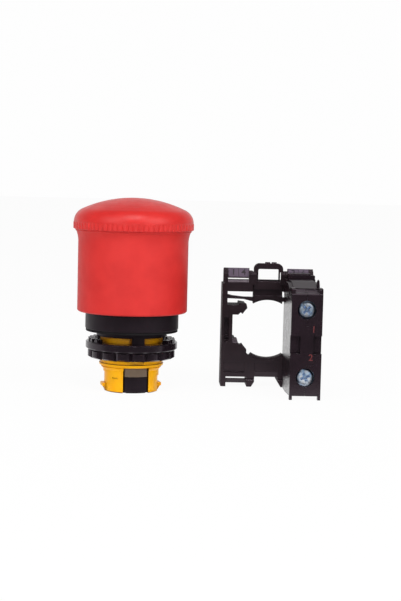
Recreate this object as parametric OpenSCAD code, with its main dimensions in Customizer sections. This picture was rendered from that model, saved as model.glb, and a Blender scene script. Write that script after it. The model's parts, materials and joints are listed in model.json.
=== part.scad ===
// Emergency stop push button for a 22.5 mm panel hole: a pull-to-release mushroom head on its
// threaded neck, and beside it the clip-on contact carrier with one screw-terminal contact block.
// Frame: origin at the centre of the panel seat, +Z out of the panel towards the head,
// +X across the carrier, +Y away from the block's terminal face. All sizes are millimetres.

/* [Head] */
// Diameter of the mushroom head over its grip band
head_d = 38; // [36:0.5:44]
// Height of the ribbed grip band
band_h = 2.5; // [1.5:0.1:3]
// Height of the dome above the grip band
dome_h = 7.6; // [7:0.1:9]
// Radius of the flat crown of the dome
dome_r = 38; // [34:1:50]
// Radius of the dome's rounded shoulder
shoulder_r = 4.6; // [4:0.1:6]
// Number of ribs round the grip band
band_ribs = 72; // [36:2:90]
// Depth of the grooves between the ribs
rib_depth = 0.35; // [0.1:0.05:0.6]
// Wall of the domed cap
cap_wall = 2; // [1.5:0.1:2.5]
// Outer diameter of the skirt
skirt_d = 34.8; // [34.4:0.1:35.6]
// Height of the skirt under the grip band
skirt_h = 25.8; // [24:0.1:30]
// Wall of the skirt
skirt_wall = 1.5; // [1.2:0.1:1.7]
// How far the lip at the top of the skirt stands out
skirt_lip = 0.9; // [0.4:0.1:1]
// Height of the hollow flare under that lip
flare_h = 3.2; // [2:0.1:5]
// Gap between the skirt and the panel with the head up
skirt_gap = 6.1; // [6:0.1:8]
// How far the head is pushed in
head_travel = 5.8; // [4:0.1:5.8]

/* [Guide and springs] */
// Diameter of the stem where the bezel guides it
stem_d = 12; // [11:0.1:12.4]
// Diameter of the stem's ends, in the cap and in the pusher
stem_end_d = 7.4; // [6.6:0.1:7.8]
// Outer diameter of the bezel's guide tube
guide_d = 16; // [15.4:0.1:16.4]
// Top of the guide tube over the panel seat
guide_top = 19.4; // [18:0.1:19.6]
// Diameter of the spring plate on the stem
plate_d = 22; // [21.4:0.1:24]
// Height of the spring plate's underside over the panel seat
plate_z = 27; // [26.7:0.1:28]
// Mean diameter of the return spring
spring_d = 19; // [18.6:0.1:19.4]
// Wire of the return spring
spring_wire = 0.9; // [0.6:0.05:1.1]
// Turns of the return spring
spring_turns = 6.5; // [5:0.5:7]
// Wire of the hairpin latch spring
hairpin_wire = 0.8; // [0.6:0.05:0.9]
// Height of the hairpin over the panel seat
hairpin_z = 4.4; // [4.2:0.1:4.8]

/* [Bezel and neck] */
// Diameter of the bezel
bezel_d = 29.5; // [28:0.1:30]
// Height of the bezel's rim over the panel seat
bezel_h = 8; // [7.4:0.1:9]
// Thickness of the gasket under the bezel
gasket_t = 0.6; // [0.4:0.1:1]
// Diameter of the centring collar that fills the panel hole
collar_d = 22.3; // [22:0.1:22.4]
// Depth of the centring collar below the seat
collar_h = 1.5; // [1:0.1:1.8]
// Width of the anti-rotation key
key_w = 3.9; // [3:0.1:4.2]
// Depth of the key below the seat
key_h = 4.5; // [4.3:0.1:4.6]
// Diameter over the neck's thread
thread_d = 20.8; // [20.4:0.1:21]
// Pitch of the neck's thread
thread_pitch = 1; // [0.75:0.25:1.25]
// Depth where the thread ends below the seat
thread_end = 11; // [10.6:0.1:11.4]
// Depth of the whole neck below the seat
neck_h = 19; // [18:0.1:20]
// Diameter of the bayonet below the thread
bayonet_d = 17.6; // [17.4:0.1:18]
// Wall of the bayonet
bayonet_wall = 1.1; // [0.9:0.1:1.2]
// Width of the two windows in the bayonet
window_w = 8.1; // [7:0.1:8.6]
// Gap on each side of what stands in a window
window_gap = 0.5; // [0.2:0.05:0.7]
// Depth of the neck's two sunk side panels
panel_depth = 0.35; // [0.1:0.05:0.5]
// How far the bayonet's lugs stand out
lug_out = 0.7; // [0.4:0.05:0.9]
// How far the neck and its key are turned about the axis
neck_turn = 12; // [0:1:45]

/* [Ring nut] */
// Gap between the panel seat and the washer's flange
panel_gap = 3.25; // [3.2:0.05:3.5]
// How far the washer's rim stays inside the bezel's
washer_inset = 0.25; // [0.1:0.05:0.5]
// Thickness of the washer's flange
washer_h = 2.5; // [2:0.1:2.6]
// Height of the gripping teeth on the washer
tooth_h = 0.95; // [0.5:0.05:1]
// How far the nut's lobes stay inside the washer's rim
nut_inset = 0.6; // [0.4:0.05:1]
// Height of the nut
nut_h = 2.6; // [2.2:0.1:2.7]
// Number of lobes on the nut
nut_lobes = 16; // [12:2:20]
// Depth of the valleys between the lobes
nut_step = 1.1; // [0.5:0.05:1.3]

/* [Carrier] */
// Distance from the operator's axis to the carrier's bore axis
carrier_x = 44; // [42:0.5:60]
// Place of the carrier's rear face along Y
carrier_y = 10.5; // [5:0.5:20]
// Width of the carrier
carrier_w = 29.7; // [29.4:0.1:32]
// Depth of the carrier behind its rear face
carrier_t = 10; // [8:0.1:14]
// Depth of the rear plate that carries the bore
plate_t = 4; // [3.5:0.1:5]
// Diameter of the bore that grips the neck
bore_d = 19; // [18.6:0.1:19.2]
// Diameter of the wider step of the bore
step_d = 21.8; // [21:0.1:22.4]
// Thickness of the carrier's side walls
side_wall = 1.65; // [1.3:0.05:1.8]
// Width of the release latch
latch_w = 9.5; // [8.5:0.1:9.6]
// Thickness of the release latch
latch_t = 4.6; // [3.6:0.1:4.8]
// How far the release latch is pulled
latch_travel = 1.6; // [1:0.1:2]

/* [Contact block] */
// Sideways distance from the bore axis to the block's middle
block_x = 10; // [9.9:0.1:10.4]
// Width of the contact block
block_w = 9.7; // [9.5:0.1:9.9]
// Length of the contact block behind the carrier
block_l = 25.8; // [25:0.1:30]
// Height of the block's terminal face
block_h = 32; // [31:0.1:32.4]
// How far the block's middle lies below the bore axis
block_drop = 1.5; // [1.4:0.1:1.6]
// Wall of the block's two half shells
block_wall = 0.85; // [0.7:0.05:1]
// Distance between the terminal screws
screw_pitch = 21; // [20.6:0.1:21.4]
// Diameter of the terminal screws' heads
screw_head_d = 5.4; // [5:0.1:5.6]
// How far the upper terminal screw is turned
upper_turn = 47; // [0:1:90]
// How far the lower terminal screw is turned
lower_turn = 68; // [0:1:90]
// Diameter of the terminal screws' threads
screw_thread_d = 3.5; // [3:0.5:3.5]
// How far a terminal clamp closes
clamp_travel = 2.2; // [1.5:0.1:2.3]
// How far the contact plunger is pushed
plunger_travel = 5.5; // [4:0.1:5.6]

/* [Hidden] */
$fn = 96;

red = [0.85, 0.2, 0.19];
black = [0.13, 0.11, 0.13];
yellow = [1, 0.7, 0.05];
grey = [0.45, 0.38, 0.35];
rubber = [0.1, 0.1, 0.1];
steel = [0.7, 0.7, 0.72];
zinc = [0.72, 0.8, 0.86];
brass = [0.8, 0.65, 0.35];
silver = [0.85, 0.85, 0.83];

// Clearances: press for joined pieces, run for guided ones, part for pieces that only pass
press = 0.02;
run = 0.06;
part = 0.3;
over = 1; // how far a cutting solid reaches past the face it opens

head_r = head_d / 2;
skirt_r = skirt_d / 2;
skirt_top = skirt_gap + skirt_h;
band_top = skirt_top + band_h;
head_top = band_top + dome_h;
plug_r = skirt_r - 0.7;
plug_h = 1.7;
boss_d = stem_end_d + 3.6;
boss_h = 4.6;
stem_r = stem_d / 2;
stem_end_r = stem_end_d / 2;
stem_top = plate_z + 8;
plate_t_stem = 1.6;
guide_r = stem_r + run;
seal_h = 1.1;
groove_depth = 1.2;
hairpin_x = stem_r - groove_depth + hairpin_wire / 2 + 0.1;

collar_r = collar_d / 2;
thread_r = thread_d / 2;
thread_depth = 0.5;
neck_bore_r = bayonet_d / 2 - 0.2;
bayonet_r = bayonet_d / 2;
bayonet_bore_r = bayonet_r - bayonet_wall;
socket_r = thread_r - 0.95;
socket_h = 2.4;
window_top = thread_end;
liner_h = 2.85;
thread_low = thread_end - 1.1; // the thread stops above the plain flange
flange_r = thread_r - 0.2;
lug_z = [-17.4, -16.4]; // the two lugs' lower and upper faces
panel_z = [-14, -12.8]; // tops of the sunk panels on the +X and the -X side
panel_angle = 33; // half the angle that a sunk panel covers
lip_gap = 0.05; // the pusher stops this far above the neck's end
stem_tip = 16.4; // depth of the stem's end in the pusher
pusher_r = bayonet_bore_r - run;
pusher_h = 6.6;

washer_r = bezel_d / 2 - washer_inset;
washer_bore_r = thread_r + 0.12;
tooth_pitch = 13; // angle from one gripping tooth to the next
tooth_turn = 3; // the teeth's middle, measured from the X axis
nut_r = washer_r - nut_inset;
nut_bore_r = thread_r + 0.07;
nut_gap = 0.1;
nut_top = panel_gap + washer_h + nut_gap;

frame_half = carrier_w / 2;
window_half = frame_half - side_wall;
bore_r = bore_d / 2;
step_r = step_d / 2;
latch_half = latch_w / 2;
latch_y = 0.8; // the latch's rear face, sunk behind the frame's
latch_gap = latch_half + part;
shoulder_x = latch_gap + 1.2; // outer side of the two shoulders that guide the latch
foot = -neck_h;
lip_x = 3.96; // inner side of the lips in front of the latch's loop
shoulder_top = 18.84;
post_top = 19.1;
bar_low = 12.2;
bar_top = 15.97;
jaw_top = 8.43;
jaw_low = 7.7;
wall_in = frame_half - 3.45; // inner side of the thick wall between the jaws
shelf_z = -3.2;
base_z = -15.75;
base_slot = 0.55;
tab_h = 1.6;
column_x = [3.85, 6.35]; // sides of the two middle columns

block_cx = carrier_x + block_x;
block_back = carrier_y - block_l;
block_mid = -block_drop;
block_half = block_w / 2;
well_half = block_half - block_wall;
face_z = [-block_h / 2 - 0.3, block_h / 2 - 0.3]; // lower and upper edge of the terminal face
ramp_top = 18.3;
horn_top = 20.1;
fence_h = 1.4;
fence_x = block_half - 1.15; // inner side of the fences
pocket_x = [-1.8, 2.14]; // inner sides of the two finger pockets
pocket_z = [-3.1, 2.45];
pocket_y = 1.6;
tongue_x = 2.56; // how far the parting line steps aside over the middle of the face
tongue_z = [-6.76, 5.5];
screw_off = screw_pitch / 2;
parting = 0.04; // half the gap between the two half shells
back_wall = 1.3;
clamp_y = block_back + 3;
strip_y = block_back + 6.6;
strip_t = 1.3;
contact_y = 0.8; // front of the fixed contacts' inner ends
contact_z = 4.2; // distance of the contact rivets from the block's middle
rivet_t = 0.7;
bridge_t = 0.8;
bridge_y = contact_y - 0.6 - 0.05 - rivet_t; // the open gap between closed rivets is 0.05
slot_end = bridge_y - 4.15; // end of the plunger's slot, where the bridge's spring stands
plunger_end = slot_end - 0.9;
plunger_x = [-3.6, 1.4]; // sides of the plunger's head

// Points on an arc, from angle a0 to angle a1 in n steps
function arc(cx, cy, r, a0, a1, n) =
    [for (i = [0:n]) let (a = a0 + (a1 - a0) * i / n) [cx + r * cos(a), cy + r * sin(a)]];

// Outline of a ribbed or lobed disc: rounded lobes between narrow valleys
function lobed(r, depth, count, steps) =
    [for (i = [0:count * steps - 1]) let (a = 360 * i / (count * steps), s = abs(sin(a * count / 2)))
        (r - depth * pow(1 - s, 1.7)) * [cos(a), sin(a)]];

// A ring from radius r0 to r1 between heights z0 and z1
module ring(r0, r1, z0, z1) {
    rotate_extrude() translate([r0, z0]) square([r1 - r0, z1 - z0]);
}

// Whatever is drawn across the carrier (X, Z), as thick as from y0 to y1
module across(y0, y1) {
    translate([0, y1, 0]) rotate([90, 0, 0]) linear_extrude(y1 - y0) children();
}

// Whatever is drawn along the block (Y, Z), as wide as from x0 to x1
module along(x0, x1) {
    translate([x0, 0, 0]) rotate([90, 0, 90]) linear_extrude(x1 - x0) children();
}

// A box from one corner to the other
module box(lo, hi) {
    translate(lo) cube(hi - lo);
}

// A rectangle from one corner to the other
module rect(lo, hi) {
    translate(lo) square(hi - lo);
}

// Both of a pair that mirror each other across x = 0
module both_sides() {
    children();
    mirror([1, 0, 0]) children();
}

// Things in the carrier's own frame: bore axis at x = 0, rear face at y = 0
module on_carrier() {
    translate([carrier_x, carrier_y, 0]) children();
}

// Things in the block's own frame: its middle at x = 0 and z = 0, Y as in the whole part
module on_block() {
    translate([block_cx, 0, block_mid]) children();
}

// A compression spring with flat-lying end turns, standing on z = 0
module coil(mean_d, wire, height, turns, steps, sides) {
    n = round(turns * steps);
    rise = function(t) t < 1 ? wire * t
        : t > turns - 1 ? height - wire - wire * (turns - t)
        : wire + (height - 3 * wire) * (t - 1) / (turns - 2);
    points = [for (i = [0:n]) let (t = turns * i / n, a = 360 * t)
        for (j = [0:sides - 1]) let (b = 360 * j / sides, r = mean_d / 2 + wire / 2 * cos(b))
            [r * cos(a), r * sin(a), wire / 2 + rise(t) + wire / 2 * sin(b)]];
    skin = [for (i = [0:n - 1]) for (j = [0:sides - 1]) let (k = (j + 1) % sides)
        [i * sides + j, (i + 1) * sides + j, (i + 1) * sides + k, i * sides + k]];
    ends = [[for (j = [0:sides - 1]) j], [for (j = [sides - 1:-1:0]) n * sides + j]];
    polyhedron(points, concat(skin, ends), 4);
}

// Domed cap with the ribbed grip band and the boss that takes the stem
module mushroom_cap() {
    dome_z = head_top - dome_r;
    edge_r = head_r - 0.1;
    corner_x = edge_r - shoulder_r;
    corner_z = dome_z + sqrt(pow(dome_r - shoulder_r, 2) - pow(corner_x, 2));
    meet = atan2(corner_z - dome_z, corner_x);
    low = asin((band_top - corner_z) / shoulder_r);
    inner_r = shoulder_r - cap_wall;
    inner_x = plug_r + press - inner_r;
    inner_z = dome_z + sqrt(pow(dome_r - cap_wall - inner_r, 2) - pow(inner_x, 2));
    inner_meet = atan2(inner_z - dome_z, inner_x);
    color(red) difference() {
        union() {
            rotate_extrude() polygon(concat(
                [[0, head_top]], arc(0, dome_z, dome_r, 88, meet, 8),
                arc(corner_x, corner_z, shoulder_r, meet - 6, low, 10),
                [[edge_r, band_top], [edge_r - rib_depth, skirt_top], [plug_r + press, skirt_top]],
                arc(inner_x, inner_z, inner_r, 0, inner_meet, 6),
                arc(0, dome_z, dome_r - cap_wall, inner_meet + 3, 88, 6),
                [[0, head_top - cap_wall]]));
            difference() {
                translate([0, 0, skirt_top + 0.25]) linear_extrude(band_h - 0.5)
                    polygon(lobed(head_r, rib_depth, band_ribs, 4));
                translate([0, 0, skirt_top]) cylinder(r = edge_r - rib_depth - 0.5, h = band_h);
            }
            cylinder_from(boss_d / 2, stem_top - boss_h, head_top - cap_wall + 0.6);
        }
        translate([0, 0, stem_top - boss_h - over]) cylinder(r = stem_end_r + press, h = boss_h + over);
        translate([0, 0, stem_top - boss_h - over]) cylinder(r = stem_end_r + 1.2, h = over + 0.5);
    }
}

// Tall skirt that plugs into the cap and closes over the bezel
module head_skirt() {
    bore = skirt_r - skirt_wall;
    flare_z = skirt_top - 0.6;
    sag = flare_h;
    color(red) rotate_extrude() polygon(concat(
        [[bore, skirt_gap + 0.3], [bore + 0.3, skirt_gap], [skirt_r - 0.4, skirt_gap],
            [skirt_r, skirt_gap + 0.4], [skirt_r, flare_z - flare_h]],
        [for (i = [1:6]) let (t = i / 6) [skirt_r + (skirt_lip - 0.3) * t * t, flare_z - sag * (1 - t)]],
        [[skirt_r + skirt_lip, flare_z + 0.2], [skirt_r + skirt_lip, skirt_top], [plug_r, skirt_top],
            [plug_r, skirt_top + plug_h], [bore, skirt_top + plug_h]]));
}

// Stem with its spring plate and the two grooves that the hairpin drops into
module head_stem() {
    groove = hairpin_wire + 0.5;
    color(black) rotate_extrude() polygon(concat(
        [[0, stem_top], [stem_end_r - 0.4, stem_top], [stem_end_r, stem_top - 0.4],
            [stem_end_r, plate_z + plate_t_stem], [plate_d / 2, plate_z + plate_t_stem],
            [plate_d / 2, plate_z], [stem_r, plate_z]],
        [for (z = [hairpin_z + head_travel, hairpin_z]) each [[stem_r, z + groove],
            [stem_r - groove_depth, z + groove / 2], [stem_r - groove_depth, z - groove / 2],
            [stem_r, z - groove]]],
        [[stem_r, -6], [stem_end_r, -6], [stem_end_r, -stem_tip], [0, -stem_tip]]));
}

// Toothed push-on ring that holds the stem in the cap's boss
module retaining_clip() {
    clip_z = stem_top - boss_h;
    color(steel) difference() {
        translate([0, 0, clip_z + 0.05]) cylinder(r = stem_end_r + 1.1, h = 0.4);
        translate([0, 0, clip_z - over]) cylinder(r = stem_end_r + press, h = 3);
        for (a = [0:60:300]) rotate(a + 30)
            box([0, -0.3, clip_z - over], [stem_end_r + 0.6, 0.3, clip_z - over + 3]);
    }
}

// Black pusher inside the bayonet, with a lipped block in each window that shows outside
module pusher() {
    low = lip_gap - neck_h;
    top = pusher_h - neck_h;
    face_r = bayonet_r - 0.2;
    lip_r = bayonet_r - 0.08;
    lip_h = 0.6;
    half = window_w / 2 - window_gap;
    color(black) rotate(neck_turn) difference() {
        union() {
            cylinder_from(pusher_r, low, top);
            intersection() {
                rotate_extrude() polygon([[0, low], [lip_r - 0.4, low], [lip_r, low + lip_h],
                    [face_r, low + lip_h + 0.12], [face_r, -window_top - liner_h - 0.15],
                    [0, -window_top - liner_h - 0.15]]);
                across(-bayonet_r, bayonet_r) polygon([[-half, top], [-half, low + 0.5], [0.5 - half, low],
                    [half - 0.5, low], [half, low + 0.5], [half, top]]);
            }
        }
        ring(stem_end_r + 1.4, pusher_r - 1.1, low + 1.6, top + over);
        cylinder_from(stem_end_r + press, -stem_tip - press, top + over);
    }
}

// Bezel with the guide tube, the hairpin's chamber, the centring collar and the key
module bezel_ring() {
    rim = bezel_d / 2;
    color(black) difference() {
        union() {
            rotate_extrude() polygon([[guide_r, socket_h + 0.2], [socket_r + press, socket_h + 0.2],
                [socket_r + press, -collar_h], [collar_r - 0.2, -collar_h], [collar_r, 0.2 - collar_h],
                [collar_r, gasket_t], [rim - 0.35, gasket_t], [rim, gasket_t + 0.35], [rim, bezel_h - 0.8],
                [rim - 0.8, bezel_h], [guide_d / 2, bezel_h],
                [guide_d / 2, guide_top], [guide_r, guide_top]]);
            rotate(neck_turn) intersection() {
                ring(thread_r - thread_depth + 0.15, collar_r, -key_h, 0);
                box([-key_w / 2, -collar_r, -key_h], [key_w / 2, 0, 0]);
            }
        }
        difference() {
            translate([0, 0, hairpin_z - 0.8]) cylinder(r = rim - 2.2, h = 1.6);
            translate([0, 0, hairpin_z - over]) cylinder(r = guide_r - over, h = 2 * over);
        }
    }
}

// Flat gasket that seals the bezel on the panel
module bezel_gasket() {
    color(rubber) ring(collar_r + 0.05, bezel_d / 2 - 0.2, 0, gasket_t);
}

// Lip seal on top of the guide tube
module stem_seal() {
    color(rubber) rotate_extrude() polygon([[guide_d / 2, guide_top], [guide_d / 2, guide_top + seal_h * 0.6],
        [guide_r + 0.5, guide_top + seal_h], [guide_r, guide_top + seal_h], [guide_r + 0.4, guide_top]]);
}

// Yellow neck: thread above, a plain flange, then the bayonet with windows, sunk panels and lugs
module neck_sleeve() {
    core = thread_r - thread_depth;
    first = key_h;
    turns = floor((thread_low - first) / thread_pitch);
    end = neck_h;
    seat = -thread_end;
    color(yellow) rotate(neck_turn) {
        difference() {
            rotate_extrude() polygon(concat(
                [[neck_bore_r, socket_h], [socket_r, socket_h], [socket_r, -collar_h], [core, -collar_h],
                    [core, -first]],
                [for (i = [0:turns - 1]) let (z = -first - i * thread_pitch) each [
                    [thread_r, z - 0.4 * thread_pitch], [thread_r, z - 0.6 * thread_pitch],
                    [core, z - 0.95 * thread_pitch]]],
                [[core, -thread_low], [flange_r, -thread_low - 0.15], [flange_r - 0.1, seat + 0.3],
                    [bayonet_r + 0.6, seat + 0.1], [bayonet_r + 0.6, seat - 0.1],
                    [bayonet_r + 0.75, seat - 0.25], [bayonet_r + 0.15, seat - 0.95],
                    [bayonet_r, seat - 1.1], [bayonet_r, 0.3 - end], [bayonet_r - 0.3, -end],
                    [bayonet_bore_r, -end], [bayonet_bore_r, seat], [neck_bore_r, seat]]));
            box([-window_w / 2, -bayonet_r - over, -neck_h - over],
                [window_w / 2, bayonet_r + over, -window_top - 0.01]);
            rotate(-neck_turn) for (side = [0, 1]) rotate(180 * side)
                sunk_panel(panel_z[side]);
            for (a = [-46, 134]) rotate(a)
                box([-1, -bayonet_r - over, -14.6], [1, -bayonet_r + 0.3, -14.2]);
            box([-key_w / 2 - 1, -thread_r - over, -thread_low], [key_w / 2 + 0.1, 0.35 - core, -collar_h]);
        }
        both_sides() lug();
    }
}

// What is cut for one of the bayonet's sunk side panels, on the +X side
module sunk_panel(top) {
    reach = bayonet_r + over;
    intersection() {
        ring(bayonet_r - panel_depth, reach, -neck_h - over, top);
        translate([0, 0, -neck_h - over]) linear_extrude(neck_h)
            polygon([[0, 0], [reach, -reach * tan(panel_angle)], [reach, reach * tan(panel_angle)]]);
    }
}

// Bayonet lug with its long sloping underside, on the +X side
module lug() {
    root = bayonet_bore_r + 0.4;
    tip = bayonet_r + lug_out;
    across(-1.8, 1.8) polygon([[root, lug_z[1]], [tip - 0.2, lug_z[1]], [tip, lug_z[1] - 0.2],
        [tip, lug_z[0]], [bayonet_r + 0.2, lug_z[0] - 0.25], [bayonet_r - 0.4, 0.3 - neck_h],
        [root, 0.3 - neck_h]]);
}

// Grey liner in the neck, with a tab that closes the top of each window
module guide_liner() {
    half = window_w / 2 - window_gap;
    color(grey) rotate(neck_turn) {
        ring(stem_r + 0.5, neck_bore_r - run, press - window_top, 1.6 - window_top);
        intersection() {
            ring(bayonet_bore_r + 0.05, bayonet_r - 0.25, -window_top - liner_h, press - window_top);
            box([-half, -bayonet_r, -neck_h], [half, bayonet_r, 0]);
        }
    }
}

// Spring that lifts the head again when it is pulled
module return_spring() {
    color(steel) translate([0, 0, bezel_h])
        coil(spring_d, spring_wire, plate_z - bezel_h, spring_turns, 20, 6);
}

// Hairpin whose legs latch in the stem's grooves
module latch_spring() {
    r = hairpin_wire / 2;
    color(steel) translate([0, 0, hairpin_z]) {
        translate([0, 4.4, 0]) rotate_extrude(angle = 180) translate([hairpin_x, 0]) circle(r, $fn = 24);
        both_sides() translate([hairpin_x, 4.4, 0]) rotate([90, 0, 0]) cylinder(r = r, h = 10, $fn = 24);
    }
}

// Smooth washer that presses on the back of the panel, kept from turning by the key
module clamp_washer() {
    top = -panel_gap;
    low = top - washer_h;
    bore = washer_bore_r;
    rim = washer_r;
    color(black) difference() {
        union() {
            rotate_extrude() polygon([[bore, low], [rim - 0.55, low], [rim, low + 0.45], [rim, top - 0.25],
                [rim - 0.25, top], [bore, top]]);
            for (side = [0, 180], i = [-2.5:2.5]) rotate(tooth_turn + side + i * tooth_pitch)
                rotate([90, 0, 90]) translate([0, 0, bore + 1.1]) linear_extrude(rim - bore - 1.9)
                    polygon([[-1.1, top - 0.2], [1.1, top - 0.2], [0.75, top + tooth_h],
                        [-0.35, top + tooth_h]]);
        }
        rotate(neck_turn) box([-key_w / 2 - 0.2, -collar_r - 0.3, low - over],
            [key_w / 2 + 0.2, 0, top + over]);
    }
}

// Lobed nut, chamfered above and below
module ring_nut() {
    top = -nut_top;
    low = top - nut_h;
    color(black) difference() {
        intersection() {
            translate([0, 0, low]) linear_extrude(nut_h) polygon(lobed(nut_r, nut_step, nut_lobes, 8));
            rotate_extrude() polygon([[0, low], [nut_r - 0.85, low], [nut_r + 0.05, low + 0.5],
                [nut_r + 0.05, top - 0.3], [nut_r - 0.4, top], [0, top]]);
        }
        cylinder_from(nut_bore_r, low - over, top + over);
    }
}

// A cylinder of radius r from height z0 to z1
module cylinder_from(r, z0, z1) {
    translate([0, 0, z0]) cylinder(r = r, h = z1 - z0);
}

// Left half of the carrier's opening and outline, seen from behind
module frame_outline() {
    difference() {
        union() {
            rect([-frame_half, foot], [-window_half, post_top]);
            rect([-frame_half, bar_low], [-latch_gap, bar_top]);
            polygon([[-frame_half, jaw_low], [-9.4, jaw_low], [-9.28, jaw_top], [-6.94, 8.11], [-6.5, 6],
                [-8, 4.6], [-8.24, 4.95], [-8.84, 5.37], [-9.54, 4.6], [-wall_in, 4.6],
                [-wall_in, shelf_z], [-9.86, shelf_z], [-9.33, -5], [-8.69, -5.25], [-8.1, -5],
                [-6.65, -6], [-6.65, -8.17], [-5.7, -8.8], [-4.92, -7.9], [0, -7.9], [0, base_z],
                [-frame_half, base_z]]);
            polygon([[-column_x[1], base_z + over], [-column_x[1], foot], [-4.86, foot],
                [-column_x[0], -17.35], [-column_x[0], base_z + over]]);
            rect([-shoulder_x, bar_low], [-latch_gap, shoulder_top]);
        }
        circle(r = bore_r);
    }
}

// Plates that lean back at 45 degrees: the tab over the top bar, and the one under the base
module leaning_tabs() {
    along(-frame_half, -shoulder_x + 0.05) polygon([[0, 16.7], [0.5, 16.55], [3, 19.4], [2.4, 19.75]]);
    top = base_z - base_slot;
    along(-window_half - 0.05, 0.05 - column_x[1]) polygon([[0, top], [0.9, top], [2.5, top - tab_h],
        [1.6, top - tab_h]]);
}

// Shallow forms on the rear face of the carrier's left half
module rear_relief() {
    // chamfers: side wall, post, top bar, upper jaw, lower jaw, middle of the base, shoulder
    translate([0, 0, foot - over]) linear_extrude(2 * neck_h) polygon([[-frame_half - over, 0.5],
        [0.65 - frame_half, 0], [0.65 - frame_half, -over], [-frame_half - over, -over]]);
    along(-frame_half - over, 0.02 - window_half)
        polygon([[-over, 16.7], [0, 17.75], [2.3, 20.1], [-over, 21]]);
    along(-window_half, -shoulder_x) polygon([[-over, bar_top - 1.6], [0, bar_top - 0.75],
        [0.5, bar_top + 0.1], [-over, bar_top + over]]);
    along(-9.4, -6.9) polygon([[-over, jaw_top - 1.4], [0, jaw_top - 0.55], [1, jaw_top + 0.1],
        [-over, jaw_top + over]]);
    along(-wall_in + 0.1, -9.4) polygon([[-over, shelf_z - 2.6], [0, shelf_z - 1.55], [1.2, shelf_z + 0.1],
        [-over, shelf_z + over]]);
    along(-column_x[0], 0) polygon([[-over, base_z + 2.6], [0, base_z + 1.7], [0.9, base_z - 0.1],
        [-over, base_z - over]]);
    along(-shoulder_x - 0.1, 0.1 - lip_x) polygon([[-over, shoulder_top - 2.4], [0, shoulder_top - 0.94],
        [0.9, shoulder_top + 0.1], [-over, shoulder_top + over]]);
    // pocket in the side wall, with two ledges at its foot
    along(0.7 - frame_half, -wall_in - 1.15) polygon([[-over, 3.7], [2, 3.7], [2, -2.1], [0.5, -2.6],
        [1.6, -2.75], [1.6, -3.3], [0.6, -3.75], [0.8, -4.35], [-over, -4.35]]);
    // sunk bands and a groove across the base, and a groove in the column
    box([0.75 - frame_half, -over, -13.9], [-7.1, 0.3, -10.9]);
    box([-column_x[0], -over, -13.9], [0, 0.3, -10.9]);
    along(0.75 - frame_half, -7.1) polygon([[-over, -13], [0.3, -14.3], [-over, -14.65]]);
    along(-column_x[1] - over, over - column_x[0]) polygon([[-over, -15.9], [0.45, -16.4], [0, -17],
        [-over, -17.2]]);
    // step round the lower arc of the bore
    intersection() {
        across(-over, 0.35) circle(r = bore_r + 0.8);
        box([-6.2, -over, -bore_r - 2], [0, over, -7]);
    }
}

// Black frame that clips onto the neck and holds up to three contact blocks
module carrier_frame() {
    groove = [1.5, 3.4];
    color(black) on_carrier() difference() {
        union() {
            across(0, plate_t) both_sides() frame_outline();
            across(plate_t, carrier_t) difference() {
                both_sides() intersection() {
                    frame_outline();
                    rect([-frame_half, foot], [0, 14.7]);
                }
                circle(r = step_r);
            }
            across(latch_t + 0.7, carrier_t) rect([-frame_half, 12], [frame_half, 14.7]);
            both_sides() leaning_tabs();
            both_sides() across(0, latch_y - run) rect([-shoulder_x, 14.5], [-lip_x, shoulder_top]);
        }
        both_sides() rear_relief();
        both_sides() box([-latch_gap - 0.7, groove[0], 7], [0, groove[1], 20]);
        both_sides() box([-frame_half - over, -over, 15.2], [0.25 - frame_half, carrier_t + over, 21]);
        both_sides() box([-frame_half - over, -over, 14.6], [0.5 - frame_half, carrier_t + over, 15.21]);
    }
}

// Latch that slides in the frame's grooves, with a thinner loop to pull it by
module release_latch() {
    loop_top = 21.4;
    loop_root = 15.9;
    loop_t = 2;
    corner = 1.8;
    hole = [3.35, 16.1, 19.6]; // half width, lower and upper edge of the loop's hole
    color(black) on_carrier() difference() {
        union() {
            across(latch_y, latch_t) rect([-latch_half, 7.6], [latch_half, loop_root]);
            across(latch_y, latch_y + loop_t) difference() {
                union() {
                    both_sides() translate([corner - latch_half, loop_top - corner]) circle(r = corner);
                    rect([-latch_half, loop_root - 0.1], [latch_half, loop_top - corner]);
                    rect([corner - latch_half, loop_root], [latch_half - corner, loop_top]);
                }
                rect([-hole[0], hole[1]], [hole[0], hole[2] - 0.45]);
                rect([0.45 - hole[0], hole[1]], [hole[0] - 0.45, hole[2]]);
                both_sides() translate([0.45 - hole[0], hole[2] - 0.45]) circle(r = 0.45);
                rect([hole[0] + 0.4, hole[1]], [latch_half - 0.4, hole[2] - 1]);
            }
            across(1.8, 3.1) rect([-latch_gap - 0.6, bar_low + run], [latch_gap + 0.6, loop_root]);
            for (x = [-0.3, 1.8]) translate([x, latch_y + loop_t / 2, loop_top - 0.3]) rotate([0, 90, 0])
                cylinder(r = 0.75, h = 1.6, center = true);
        }
        across(-over, latch_t + over) circle(r = bore_r);
        box([-latch_half - over, -over, 10.9], [latch_half + over, 1.79, 13]);
        across(-over, latch_y + 0.35) circle(r = bore_r + 0.7);
        along(-latch_half - over, latch_half + over) polygon([[-over, 14.9], [latch_y, 15.5],
            [latch_y + 0.4, loop_root + 0.05], [-over, 16.3]]);
    }
}

// Springy arm from the side wall that presses the latch down onto the neck
module latch_arm() {
    tip = -latch_half - 0.05;
    across(0.6, 4) polygon([[-window_half, 9.85], [-window_half, 11.05], [1.7 - window_half, 10.65],
        [-7.95, 10.28], [tip, 10.26], [tip, 9], [tip - 0.8, 9.16], [-7.93, 9.7]]);
}

module latch_arm_left() {
    color(black) on_carrier() latch_arm();
}

module latch_arm_right() {
    color(black) on_carrier() mirror([1, 0, 0]) latch_arm();
}

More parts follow.
